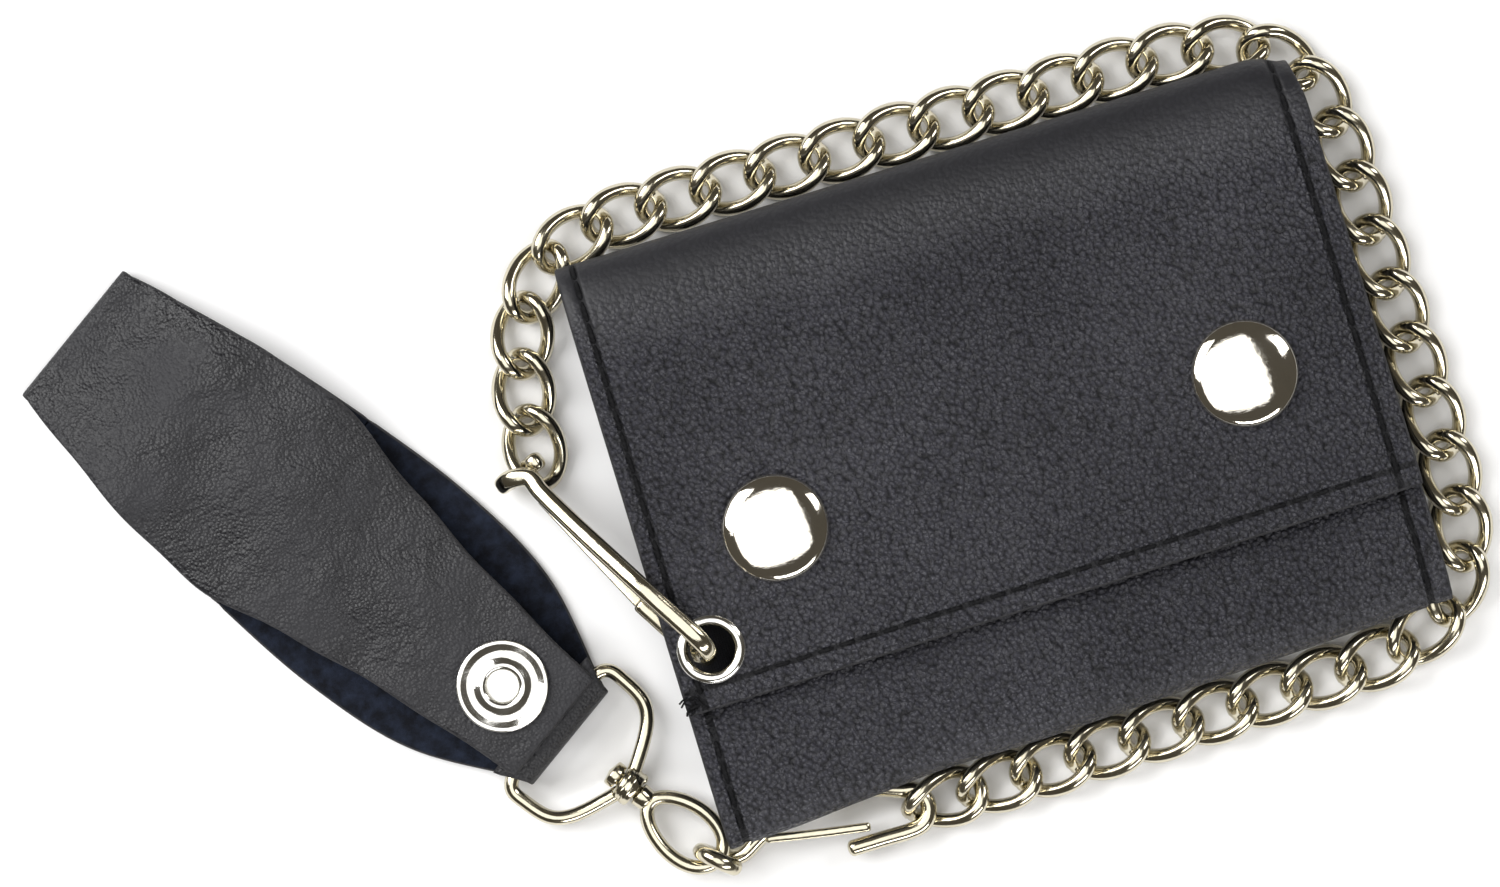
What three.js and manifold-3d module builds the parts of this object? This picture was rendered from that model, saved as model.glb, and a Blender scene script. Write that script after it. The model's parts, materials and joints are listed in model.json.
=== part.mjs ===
// Chain wallet: a snap-flap wallet lying on its back, with its curb chain laid
// round it, the spring clip in its eyelet, and the belt strap on the far end.
// Millimetres. +X runs along the wallet's width, +Y from the flap's hem to its
// fold, +Z up from the surface that everything lies on.
import * as THREE from 'three';
import { mergeVertices } from 'three/addons/utils/BufferGeometryUtils.js';
import Module from 'manifold-3d';

const wasm = await Module();
wasm.setup();

// ---------- driving dimensions ----------
const GAP = 0.3; // clearance left between pieces that touch

// The closed wallet
const WALLET_W = 108;
const WALLET_TOP = 42; // crest of the flap's fold
const WALLET_BOTTOM = -41.8; // crest of the lower panel's fold
const EDGE_LIFT = 5.4; // the back's rim stands this far up, its belly on the table
const BACK_THICK = 1.8;
const PANEL_LOW = 9.8;
const PANEL_TOP = 11.8;
const PANEL_REACH = 10; // the lower panel's free edge under the flap
const FLAP_LOW = 12.6;
const FLAP_TOP = 14.6;
const FLAP_HEM = -23.4;
const DIVIDER_THICK = 1;
const POCKET_THICK = 1.6;
const HOOK_NOTCH = { x: -43, y: -24.2 }; // lower panel cut back to clear the hook

// Eyelet and snaps
const EYELET = { x: -48.5, y: -15.8, bore: 3.25, tube: 3.5, flange: 4.95, rim: 0.5 };
const SNAPS = { left: [-34.9, -2.1], right: [34.6, -0.5] };
const CAP = { r: 7.6, rise: 2.2, lip: 0.4 };
const SOCKET = { r: 5, bore: 3.2 };
const STUD = { r: 1.9, flange: 4.6 };

// Curb chain
const LINKS = 38;
const PITCH = 8.12;
const WIRE = 2.1;
const LINK = { half: 5.45, wide: 3.6, twist: -Math.PI / 4, square: 2.4 };
const CHAIN_Z = 2.65;

// Spring clips
const CLIP_WIRE = 2.4;
const GATE = { wide: 1.8, thick: 0.5, channel: 1.3 }; // channel: depth of a folded leaf

// Belt strap: its own frame runs from the fold (s = 0) to the ring's bar
const STRAP = { x: -122.65, y: 53.05, angle: -56, thick: 1.5 };
const BAR_S = 88.3;
const BAR_Z = 2.95;
const RING_WIRE = 2.1;
const STRAP_SNAP_S = 79;

// ---------- materials ----------
const look = (color, roughness, metalness) =>
  new THREE.MeshStandardMaterial({ color, roughness, metalness });
const leather = () => look(0x1c1c21, 0.5, 0);
const lining = () => look(0x141418, 0.85, 0);
const suede = () => look(0x171d2b, 0.95, 0);
const nickel = () => look(0xd8d0b8, 0.22, 1);

// ---------- shape helpers ----------
const wallet = new THREE.Group();

function piece(name, geometry, material, parent = wallet) {
  const mesh = new THREE.Mesh(geometry, material);
  mesh.name = name;
  parent.add(mesh);
  return mesh;
}

// A sheet of cells whose corners are put in place by place(u, v, w), each 0 to 1
function bentSheet(cellsU, cellsV, place) {
  const sheet = new THREE.BoxGeometry(1, 1, 1, cellsU, cellsV, 1);
  const at = sheet.attributes.position;
  for (let i = 0; i < at.count; i += 1) {
    const spot = place(at.getX(i) + 0.5, at.getY(i) + 0.5, at.getZ(i) + 0.5);
    at.setXYZ(i, ...spot);
  }
  return sheet;
}

function ngon(radius, sides) {
  const corner = (i) => {
    const turn = ((i + 0.5) / sides) * 2 * Math.PI;
    return new THREE.Vector2(radius * Math.cos(turn), radius * Math.sin(turn));
  };
  return new THREE.Shape(Array.from({ length: sides }, (_, i) => corner(i)));
}

const bentWire = (points, diameter, steps) =>
  new THREE.ExtrudeGeometry(ngon(diameter / 2, 6), {
    steps,
    bevelEnabled: false,
    extrudePath: new THREE.CatmullRomCurve3(points, false, 'centripetal'),
  });

const lathe = (profile, sides) =>
  new THREE.LatheGeometry(profile.map(([r, z]) => new THREE.Vector2(r, z)), sides).rotateX(
    Math.PI / 2,
  );

// A flat plate of the outline's shape, from z = low to z = high
const plate = (outline, low, high) =>
  new THREE.ExtrudeGeometry(outline, {
    depth: high - low,
    bevelEnabled: false,
    curveSegments: 16,
  }).translate(0, 0, low);

function roundHole(outline, x, y, radius) {
  const hole = new THREE.Path();
  hole.absarc(x, y, radius, 0, 2 * Math.PI, true);
  outline.holes.push(hole);
}

function solid(geometry) {
  const bare = geometry.index ? geometry.toNonIndexed() : geometry.clone();
  bare.deleteAttribute('normal');
  bare.deleteAttribute('uv');
  const merged = mergeVertices(bare, 1e-3);
  return new wasm.Manifold(
    new wasm.Mesh({
      numProp: 3,
      vertProperties: merged.attributes.position.array,
      triVerts: new Uint32Array(merged.index.array),
    }),
  );
}

function geometryOf(body) {
  const mesh = body.getMesh();
  const geometry = new THREE.BufferGeometry();
  geometry.setAttribute('position', new THREE.BufferAttribute(mesh.vertProperties, 3));
  geometry.setIndex(new THREE.BufferAttribute(mesh.triVerts, 1));
  return geometry;
}

// ---------- wallet leather ----------
const TOP_FOLD = { r: (FLAP_TOP - EDGE_LIFT) / 2, inner: 2.7 };
TOP_FOLD.y = WALLET_TOP - TOP_FOLD.r;
TOP_FOLD.z = (FLAP_TOP + EDGE_LIFT) / 2;
const LOW_FOLD = { r: (PANEL_TOP - EDGE_LIFT) / 2, inner: 1.3 };
LOW_FOLD.y = WALLET_BOTTOM + LOW_FOLD.r;
LOW_FOLD.z = (PANEL_TOP + EDGE_LIFT) / 2;

// A dished sheet: flat in the middle, rising over the outermost cell to its rim
function dish(width, low, high, floor, thick) {
  const [cellsU, cellsV] = [8, 6];
  return bentSheet(cellsU, cellsV, (u, v, w) => {
    const inU = Math.min(1, Math.min(u, 1 - u) * cellsU);
    const inV = Math.min(1, Math.min(v, 1 - v) * cellsV);
    const rise = EDGE_LIFT * (1 - Math.min(inU, inV));
    return [(u - 0.5) * width, low + v * (high - low), floor + rise + w * thick];
  });
}

const backLow = LOW_FOLD.y + GAP;
const backHigh = TOP_FOLD.y - GAP;
piece('back_shell', dish(WALLET_W, backLow, backHigh, 0, BACK_THICK), leather());
piece(
  'bill_divider',
  dish(WALLET_W - 18, backLow + 6, backHigh - 6, BACK_THICK + 0.6, DIVIDER_THICK),
  lining(),
);

// Half-round leather between two panels; side is +1 at the top fold, -1 at the bottom
function spine(name, fold, side) {
  const half = new THREE.Shape();
  half.absarc(0, 0, fold.r, -Math.PI / 2, Math.PI / 2, false);
  half.absarc(0, 0, fold.inner, Math.PI / 2, -Math.PI / 2, true);
  const bend = new THREE.ExtrudeGeometry(half, {
    depth: WALLET_W,
    bevelEnabled: false,
    curveSegments: 10,
  });
  // The outline's axes become the wallet's +Y and +Z, and the extrusion runs along X
  const turn = new THREE.Matrix4().makeBasis(
    new THREE.Vector3(0, 1, 0),
    new THREE.Vector3(0, 0, 1),
    new THREE.Vector3(1, 0, 0),
  );
  bend.applyMatrix4(turn).translate(-WALLET_W / 2, 0, 0);
  if (side < 0) bend.rotateZ(Math.PI);
  const mesh = piece(name, bend, leather());
  mesh.position.set(0, fold.y, fold.z);
}
spine('top_spine', TOP_FOLD, 1);
spine('bottom_spine', LOW_FOLD, -1);

function flapShell() {
  const half = WALLET_W / 2;
  const outline = new THREE.Shape();
  outline.moveTo(-half, TOP_FOLD.y - GAP);
  outline.lineTo(-half, FLAP_HEM);
  outline.lineTo(half, FLAP_HEM);
  outline.lineTo(half, TOP_FOLD.y - GAP);
  outline.closePath();
  roundHole(outline, EYELET.x, EYELET.y, EYELET.tube + GAP);
  Object.values(SNAPS).forEach(([x, y]) => roundHole(outline, x, y, SOCKET.r + GAP));
  return plate(outline, FLAP_LOW, FLAP_TOP);
}
piece('flap_shell', flapShell(), leather());

function lowerPanel() {
  const half = WALLET_W / 2;
  const outline = new THREE.Shape();
  outline.moveTo(-half, LOW_FOLD.y + GAP);
  outline.lineTo(half, LOW_FOLD.y + GAP);
  outline.lineTo(half, PANEL_REACH);
  outline.lineTo(HOOK_NOTCH.x, PANEL_REACH);
  outline.lineTo(HOOK_NOTCH.x, HOOK_NOTCH.y);
  outline.lineTo(-half, HOOK_NOTCH.y);
  outline.closePath();
  Object.values(SNAPS).forEach(([x, y]) => roundHole(outline, x, y, STUD.flange + GAP));
  return plate(outline, PANEL_LOW, PANEL_TOP);
}
piece('lower_panel', lowerPanel(), leather());

const pocket = new THREE.BoxGeometry(76, 32, POCKET_THICK);
piece('card_pocket', pocket, lining()).position.set(0, -10, PANEL_LOW - GAP - POCKET_THICK / 2);

// ---------- eyelet and snaps ----------
const rimLow = FLAP_LOW - GAP;
const rimHigh = FLAP_TOP + GAP;
const eyeletProfile = [
  [EYELET.bore, rimLow - EYELET.rim],
  [EYELET.flange, rimLow - EYELET.rim],
  [EYELET.flange, rimLow],
  [EYELET.tube, rimLow],
  [EYELET.tube, rimHigh],
  [EYELET.flange, rimHigh],
  [EYELET.flange - 0.5, rimHigh + EYELET.rim],
  [EYELET.bore, rimHigh + EYELET.rim],
  [EYELET.bore, rimLow - EYELET.rim],
];
piece('eyelet', lathe(eyeletProfile, 24), nickel()).position.set(EYELET.x, EYELET.y, 0);

// Domed cap on the flap, with the socket riveted to it through the leather
function snapCap() {
  const dome = [0, 0.3, 0.55, 0.78, 0.93, 1].map((part) => [
    CAP.r * part,
    rimHigh + CAP.lip + CAP.rise * Math.sqrt(1 - 0.9 * part * part) - 0.3 * CAP.rise,
  ]);
  return lathe(
    [
      [0, FLAP_TOP - 0.3],
      [SOCKET.bore, FLAP_TOP - 0.3],
      [SOCKET.bore, PANEL_TOP + GAP],
      [SOCKET.r, PANEL_TOP + GAP],
      [SOCKET.r, rimHigh],
      [CAP.r, rimHigh],
      ...dome.reverse(),
    ],
    24,
  );
}

// Stud that stands up from the lower panel into the socket
const studProfile = [
  [0, PANEL_LOW + 0.1],
  [STUD.flange, PANEL_LOW + 0.1],
  [STUD.flange, PANEL_TOP - 0.1],
  [STUD.r - 0.3, PANEL_TOP - 0.1],
  [STUD.r, PANEL_TOP + 1.4],
  [STUD.r - 0.6, PANEL_TOP + 2],
  [0, PANEL_TOP + 2],
];
Object.entries(SNAPS).forEach(([side, [x, y]]) => {
  piece(`flap_snap_cap_${side}`, snapCap(), nickel()).position.set(x, y, 0);
  piece(`panel_snap_stud_${side}`, lathe(studProfile, 16), nickel()).position.set(x, y, 0);
});

// ---------- chain ----------
// The chain's course, from the upper clip round the wallet to the lower clip
const course = new THREE.CatmullRomCurve3(
  [
    [-64.6, 14.6],
    [-64.4, 23],
    [-62.8, 31],
    [-60, 38.4],
    [-54.8, 44.2],
    [-47.5, 46.6],
    [-36, 46.8],
    [-10, 46.6],
    [20, 46.3],
    [40, 46],
    [49.5, 44.4],
    [56, 38.6],
    [58.3, 30],
    [58.8, 12],
    [59.6, -6],
    [59.8, -24],
    [58.4, -34.5],
    [53, -42],
    [44, -45.2],
    [30, -45.6],
    [10, -46],
    [-10, -46.3],
    [-34, -46.4],
  ].map(([x, y]) => new THREE.Vector3(x, y, 0)),
  false,
  'centripetal',
);

// Joints between links: each one lies a pitch from the last, along the course
function walk(count) {
  const fine = course.getSpacedPoints(6000);
  const joints = [fine[0]];
  for (const point of fine) {
    if (joints.length > count) break;
    if (point.distanceTo(joints[joints.length - 1]) >= PITCH) joints.push(point);
  }
  return joints;
}

// A link's wire: a squarish oval, twisted along its length so that links lie flat
class LinkPath extends THREE.Curve {
  getPoint(t, target = new THREE.Vector3()) {
    const turn = 2 * Math.PI * t;
    const squared = (value) => Math.sign(value) * Math.abs(value) ** (2 / LINK.square);
    const along = squared(Math.cos(turn));
    const across = LINK.wide * squared(Math.sin(turn));
    const roll = LINK.twist * along;
    return target.set(
      LINK.half * along,
      across * Math.cos(roll),
      across * Math.sin(roll),
    );
  }
}
const linkGeometry = () => new THREE.TubeGeometry(new LinkPath(), 16, WIRE / 2, 6, true);

const joints = walk(LINKS);
// The last links turn over and rise to meet the lower clip's hook
const ROLLS = { 37: -0.2, 38: -0.4 };
const LIFTS = { 37: 0.75, 38: 0.95 };
const jointZ = (i) => CHAIN_Z + (LIFTS[i] ?? 0);
for (let i = 1; i <= LINKS; i += 1) {
  const [from, to] = [joints[i - 1], joints[i]];
  const heading = Math.atan2(to.y - from.y, to.x - from.x);
  const climb = Math.atan2(jointZ(i) - jointZ(i - 1), PITCH);
  const name = `chain_link_${String(i).padStart(2, '0')}`;
  const link = piece(name, linkGeometry(), nickel());
  link.rotation.set(ROLLS[i] ?? 0, -climb, heading, 'ZYX');
  link.position.set((from.x + to.x) / 2, (from.y + to.y) / 2, (jointZ(i) + jointZ(i - 1)) / 2);
}

// ---------- spring clips ----------
const v3 = (x, y, z) => new THREE.Vector3(x, y, z);
const EYE_R = 2.9; // centre line of a clip's eye

// An eye: the wire's points round a circle that stands upright along the way given
const eyePoints = (centre, way, degrees) =>
  degrees.map((angle) => {
    const turn = THREE.MathUtils.degToRad(angle);
    return centre
      .clone()
      .addScaledVector(way, EYE_R * Math.cos(turn))
      .add(v3(0, 0, EYE_R * Math.sin(turn)));
  });

// Points round a half circle that is the hook's bend, from +90 to -90 degrees
const bendPoints = (place) =>
  [90, 60, 30, 0, -30, -60, -90].map((angle) => {
    const turn = THREE.MathUtils.degToRad(angle);
    return place(Math.cos(turn), Math.sin(turn));
  });

const UPPER_EYE = v3(-67.5, 15.8, 4.15);
const upperReach = v3(EYELET.x - UPPER_EYE.x, EYELET.y - UPPER_EYE.y, 0);
const upperWay = upperReach.clone().normalize();
const upperSide = v3(-upperWay.y, upperWay.x, 0);
const onUpper = (along, side, z) =>
  v3(UPPER_EYE.x, UPPER_EYE.y, z)
    .addScaledVector(upperWay, along)
    .addScaledVector(upperSide, side);

const UPPER_HOOK_R = 3.35;
const SHANK_Z = FLAP_TOP + GAP + EYELET.rim + 0.35 + CLIP_WIRE / 2;
const HOOK_Z = SHANK_Z - UPPER_HOOK_R;
const HOOK_ALONG = upperReach.length() + 0.4 - UPPER_HOOK_R;
const TIP_ALONG = 25.4;
const TIP_SIDE = -2;

const upperPath = [
  ...eyePoints(UPPER_EYE, v3(-0.95, -0.32, 0).normalize(), [-210, -165, -120, -75, -30, 15, 60]),
  onUpper(1.4, 0.5, UPPER_EYE.z + EYE_R + 0.3),
  onUpper(4, 0.2, 8.4),
  onUpper(11, 0, 11.6),
  onUpper(18, 0, 14.8),
  onUpper(24, 0, SHANK_Z - 0.2),
  onUpper(29, 0, SHANK_Z),
  ...bendPoints((cos, sin) =>
    onUpper(
      HOOK_ALONG + UPPER_HOOK_R * cos,
      (TIP_SIDE * (1 - sin)) / 2,
      HOOK_Z + UPPER_HOOK_R * sin,
    ),
  ),
  onUpper(30, TIP_SIDE, HOOK_Z - UPPER_HOOK_R + 0.05),
  onUpper(TIP_ALONG, TIP_SIDE, HOOK_Z - UPPER_HOOK_R + 0.1),
];
piece('upper_clip', bentWire(upperPath, CLIP_WIRE, 56), nickel());

// A leaf spring from root to end, flat across the direction named by wide
function gateLeaf(root, end, wide, thick) {
  const way = end.clone().sub(root);
  const flat = wide.clone().normalize();
  const up = way.clone().normalize().cross(flat);
  return bentSheet(6, 1, (u, v, w) =>
    root
      .clone()
      .addScaledVector(way, u)
      .addScaledVector(flat, (v - 0.5) * GATE.wide)
      .addScaledVector(up, (w - 0.5) * thick)
      .toArray(),
  );
}
const upperGate = { root: onUpper(5, -0.5, 6), end: onUpper(TIP_ALONG - 0.4, TIP_SIDE, 10.3) };
const upperLeaf = gateLeaf(upperGate.root, upperGate.end, upperSide, GATE.thick);
piece('upper_clip_gate', upperLeaf, nickel());

// The lower clip lies on its side, its hook level with the table
const LOWER_EYE = v3(-56.3, -45.25, 4.15);
const LOWER_HOOK = { x: -28.4, y: -46.35, z: CHAIN_Z + LIFTS[38], r: 2.95, tip: -37.6 };
const lowerWay = v3(0.75, -0.66, 0).normalize();
const lowerPath = [
  ...eyePoints(LOWER_EYE, lowerWay, [150, 105, 60, 15, -30, -75].map((angle) => -180 - angle)),
  v3(-53.4, -45.8, 1.6),
  v3(-49.5, -44, 2.2),
  v3(-44, -42.7, 3),
  v3(-37, -42.5, 4),
  ...bendPoints((cos, sin) =>
    v3(
      LOWER_HOOK.x + LOWER_HOOK.r * cos,
      LOWER_HOOK.y + LOWER_HOOK.r * sin,
      LOWER_HOOK.z,
    ),
  ),
  v3(-33, LOWER_HOOK.y - LOWER_HOOK.r, LOWER_HOOK.z),
  v3(LOWER_HOOK.tip, LOWER_HOOK.y - LOWER_HOOK.r, LOWER_HOOK.z),
];
piece('lower_clip', bentWire(lowerPath, CLIP_WIRE, 48), nickel());
const lowerGate = { root: v3(-50, -46, 4.4), end: v3(-35.2, -46.8, LOWER_HOOK.z) };
const lowerLeaf = gateLeaf(lowerGate.root, lowerGate.end, v3(0, 0, 1), GATE.channel);
piece('lower_clip_gate', lowerLeaf, nickel());

// ---------- belt strap, its ring and the swivel ----------
const strap = new THREE.Group();
strap.position.set(STRAP.x, STRAP.y, 0);
strap.rotation.z = THREE.MathUtils.degToRad(STRAP.angle);
wallet.add(strap);

const HUB_S = 102;
const HUB = { half: 1.3, r: 2.7, bore: 1.4 };
const STEM_R = 1.05;

class FlatLoop extends THREE.Curve {
  constructor(spot) {
    super();
    this.spot = spot;
  }

  getPoint(t, target = new THREE.Vector3()) {
    return target.set(...this.spot(2 * Math.PI * t));
  }
}

// Lathe work turned to lie along the strap's length, with z = 0 at the hub's middle
const alongStrap = (profile, sides) =>
  lathe(profile, sides).rotateY(Math.PI / 2).translate(HUB_S, 0, BAR_Z);

function dRing() {
  const half = [
    [88.3, 9.4],
    [89.4, 11],
    [92, 11.2],
    [96, 10.6],
    [98.3, 8.6],
    [101.2, 2.2],
  ];
  const outline = [
    [88.3, 0],
    ...half,
    [101.9, 0],
    ...half.map(([s, n]) => [s, -n]).reverse(),
  ].map(([s, n]) => v3(s, n, BAR_Z));
  const path = new THREE.CatmullRomCurve3(outline, true, 'centripetal');
  const wire = new THREE.TubeGeometry(path, 56, RING_WIRE / 2, 6, true);
  const hub = alongStrap([[0, -HUB.half], [HUB.r, -HUB.half], [HUB.r, HUB.half], [0, HUB.half]], 12);
  const bore = alongStrap([[0, -9], [HUB.bore, -9], [HUB.bore, 9], [0, 9]], 12);
  const ring = solid(wire).add(solid(hub));
  return geometryOf(ring.subtract(solid(bore)));
}
piece('d_ring', dRing(), nickel(), strap);

function swivelLoop() {
  const eye = new FlatLoop((turn) => {
    const along = Math.cos(turn);
    return [112.2 + 6.3 * along, 3.9 * Math.sin(turn) * (1 + 0.12 * along), 3.5 + 0.55 * along];
  });
  const wire = new THREE.TubeGeometry(eye, 32, RING_WIRE / 2, 6, true);
  const stem = alongStrap(
    [
      [0, -3.6],
      [1.9, -3.2],
      [1.9, -1.8],
      [STEM_R, -1.8],
      [STEM_R, 1.7],
      [1.8, 1.7],
      [1.6, 3.6],
      [0, 4.2],
    ],
    10,
  );
  return geometryOf(solid(wire).add(solid(stem)));
}
piece('swivel_loop', swivelLoop(), nickel(), strap);

// Half the strap's width at a distance s from the fold
const halfWidth = (points) => {
  const curve = new THREE.SplineCurve(points.map(([s, n]) => new THREE.Vector2(s, n)));
  const fine = curve.getPoints(200);
  return (s) => (fine.find((point) => point.x >= s - 1e-6) ?? fine[200]).y;
};
const frontHalf = halfWidth([[0, 11.2], [18, 14.6], [36, 16.3], [52, 13.2], [68, 10.7], [90, 8.4]]);
const backHalf = halfWidth([[0, 11.2], [20, 14.8], [42, 17], [58, 17.5], [74, 15.6], [90, 8.4]]);

const FRONT_LOW = 6.2;
const FRONT_END = 88.2;
const WRAP_R = BAR_Z - STRAP.thick / 2;
const TAB_END = 85.9;

const frontLow = (s) =>
  STRAP.thick + GAP + (FRONT_LOW - STRAP.thick - GAP) * THREE.MathUtils.smoothstep(s, 0, 22);

const drill = (radius) =>
  solid(lathe([[0, -1], [radius, -1], [radius, 12], [0, 12]], 16).translate(STRAP_SNAP_S, 0, 0));

const frontSheet = bentSheet(18, 4, (u, v, w) => {
  const s = u * FRONT_END;
  return [s, (v - 0.5) * 2 * frontHalf(s), frontLow(s) + w * STRAP.thick];
});
piece('strap_front', geometryOf(solid(frontSheet).subtract(drill(3.2))), leather(), strap);

// The back layer's course: flat, round the ring's bar, then a short tab on top
const backCourse = [
  ...Array.from({ length: 13 }, (_, i) => ({ s: (i * BAR_S) / 12, z: STRAP.thick / 2, turn: 0 })),
  ...Array.from({ length: 8 }, (_, i) => {
    const turn = ((i + 1) / 8) * Math.PI;
    return { s: BAR_S + WRAP_R * Math.sin(turn), z: BAR_Z - WRAP_R * Math.cos(turn), turn };
  }),
  { s: TAB_END, z: BAR_Z + WRAP_R, turn: Math.PI },
];
const backSheet = bentSheet(backCourse.length - 1, 4, (u, v, w) => {
  const { s, z, turn } = backCourse[Math.round(u * (backCourse.length - 1))];
  const out = (w - 0.5) * STRAP.thick;
  return [s - out * Math.sin(turn), (v - 0.5) * 2 * backHalf(s), z + out * Math.cos(turn)];
});
const backDrill = drill(2.2).intersect(
  solid(new THREE.BoxGeometry(20, 20, 3).translate(STRAP_SNAP_S, 0, 0)),
);
piece('strap_back', geometryOf(solid(backSheet).subtract(backDrill)), suede(), strap);

const frontTop = FRONT_LOW + STRAP.thick;
const strapCap = [
  [2.3, 3.4],
  [3.2, 3.6],
  [3.2, 5.6],
  [2.8, 5.9],
  [2.8, frontTop + GAP],
  [6.5, frontTop + GAP],
  [6.2, frontTop + 0.9],
  [2.9, frontTop + 0.8],
  [2.3, frontTop + 0.4],
  [2.3, 3.4],
];
const strapSocket = [
  [0, 0.1],
  [1.9, 0.1],
  [1.9, STRAP.thick + GAP],
  [5.5, STRAP.thick + GAP],
  [5.5, 2.4],
  [4.6, 2.4],
  [4.6, 4.9],
  [3.8, 4.9],
  [3.8, 2.4],
  [0, 2.4],
];
piece('strap_snap_stud', lathe(strapCap, 24), nickel(), strap).position.set(STRAP_SNAP_S, 0, 0);
piece('strap_snap_socket', lathe(strapSocket, 16), nickel(), strap)
  .position.set(STRAP_SNAP_S, 0, 0);

export default wallet;
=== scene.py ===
"""Chain wallet: the finished looks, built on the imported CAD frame.

Lengths below are millimetres in the row frame and become metres when a mesh is made.
"""

import json
import math
import random

import bpy
import numpy as np
from mathutils import Matrix, Vector


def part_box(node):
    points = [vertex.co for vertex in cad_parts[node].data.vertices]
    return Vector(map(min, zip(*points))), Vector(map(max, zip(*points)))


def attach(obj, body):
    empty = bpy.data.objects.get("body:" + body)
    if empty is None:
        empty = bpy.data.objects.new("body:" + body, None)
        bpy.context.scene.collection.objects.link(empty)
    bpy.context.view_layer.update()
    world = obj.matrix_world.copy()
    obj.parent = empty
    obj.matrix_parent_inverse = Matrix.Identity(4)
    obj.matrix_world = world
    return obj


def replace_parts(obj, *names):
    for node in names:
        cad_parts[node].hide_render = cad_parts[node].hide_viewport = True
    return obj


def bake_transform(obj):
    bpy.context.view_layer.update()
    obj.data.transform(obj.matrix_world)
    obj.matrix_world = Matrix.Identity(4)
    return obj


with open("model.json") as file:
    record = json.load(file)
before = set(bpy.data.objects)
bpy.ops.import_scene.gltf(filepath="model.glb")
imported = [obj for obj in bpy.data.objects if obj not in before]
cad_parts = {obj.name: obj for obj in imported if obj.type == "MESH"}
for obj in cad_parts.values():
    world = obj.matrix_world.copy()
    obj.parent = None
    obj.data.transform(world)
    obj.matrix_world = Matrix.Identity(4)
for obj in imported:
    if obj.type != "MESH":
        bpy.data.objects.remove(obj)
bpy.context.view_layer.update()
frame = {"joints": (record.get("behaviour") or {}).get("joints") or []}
MM = 0.001
scene = bpy.context.scene
rng = random.Random(11)


def place_of(joint):
    """Where a joint sits, in millimetres."""
    found = next(j for j in frame["joints"] if j["name"] == joint)
    return np.array(found["pos_m"]) / MM


def box_of(node):
    low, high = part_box(node)
    return np.array(low) / MM, np.array(high) / MM


def unit(v):
    v = np.asarray(v, float)
    return v / np.maximum(np.linalg.norm(v, axis=-1, keepdims=True), 1e-9)


def smooth(value, low, high):
    t = np.clip((np.asarray(value, float) - low) / (high - low), 0, 1)
    return t * t * (3 - 2 * t)


# ---------- materials ----------
def new_material(name, color, roughness, metallic=0.0, **sockets):
    material = bpy.data.materials.new(name)
    material.use_nodes = True
    shader = material.node_tree.nodes["Principled BSDF"]
    shader.inputs["Base Color"].default_value = (*color, 1)
    shader.inputs["Roughness"].default_value = roughness
    shader.inputs["Metallic"].default_value = metallic
    for socket, value in sockets.items():
        shader.inputs[socket.replace("_", " ")].default_value = value
    return material, shader


class Nodes:
    """Short names for adding and joining nodes of one material."""

    def __init__(self, material):
        self.tree = material.node_tree
        self.at = self.add("TexCoord").outputs["Object"]

    def add(self, kind, **settings):
        node = self.tree.nodes.new("ShaderNode" + kind)
        for key, value in settings.items():
            setattr(node, key, value)
        return node

    def join(self, source, target):
        self.tree.links.new(source, target)

    def stretched(self, scale, turn=(0, 0, 0)):
        mapping = self.add("Mapping")
        mapping.inputs["Scale"].default_value = scale
        mapping.inputs["Rotation"].default_value = turn
        self.join(self.at, mapping.inputs["Vector"])
        return mapping.outputs["Vector"]

    def noise(self, scale, detail=3.0, rough=0.55, where=None, distort=0.0):
        node = self.add("TexNoise")
        node.inputs["Scale"].default_value = scale
        node.inputs["Detail"].default_value = detail
        node.inputs["Roughness"].default_value = rough
        node.inputs["Distortion"].default_value = distort
        self.join(where or self.at, node.inputs["Vector"])
        return node.outputs["Fac"]

    def cells(self, scale, where=None, feature="SMOOTH_F1"):
        node = self.add("TexVoronoi", feature=feature)
        node.inputs["Scale"].default_value = scale
        self.join(where or self.at, node.inputs["Vector"])
        return node.outputs["Distance"]

    def math(self, kind, a, b=None):
        node = self.add("Math", operation=kind)
        for socket, value in zip(node.inputs, (a, b)):
            if isinstance(value, (int, float)):
                socket.default_value = value
            elif value is not None:
                self.join(value, socket)
        return node.outputs["Value"]

    def span(self, value, low, high, to_low, to_high):
        node = self.add("MapRange")
        self.join(value, node.inputs["Value"])
        for key, number in (
            ("From Min", low),
            ("From Max", high),
            ("To Min", to_low),
            ("To Max", to_high),
        ):
            node.inputs[key].default_value = number
        return node.outputs["Result"]

    def tint(self, value, dark, light, low=0.3, high=0.7):
        ramp = self.add("ValToRGB")
        ramp.color_ramp.elements[0].position = low
        ramp.color_ramp.elements[1].position = high
        ramp.color_ramp.elements[0].color = (*dark, 1)
        ramp.color_ramp.elements[1].color = (*light, 1)
        self.join(value, ramp.inputs["Fac"])
        return ramp.outputs["Color"]

    def bump(self, height, strength, depth, base=None):
        node = self.add("Bump")
        node.inputs["Distance"].default_value = depth
        if isinstance(strength, (int, float)):
            node.inputs["Strength"].default_value = strength
        else:
            self.join(strength, node.inputs["Strength"])
        self.join(height, node.inputs["Height"])
        if base is not None:
            self.join(base, node.inputs["Normal"])
        return node.outputs["Normal"]


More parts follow.
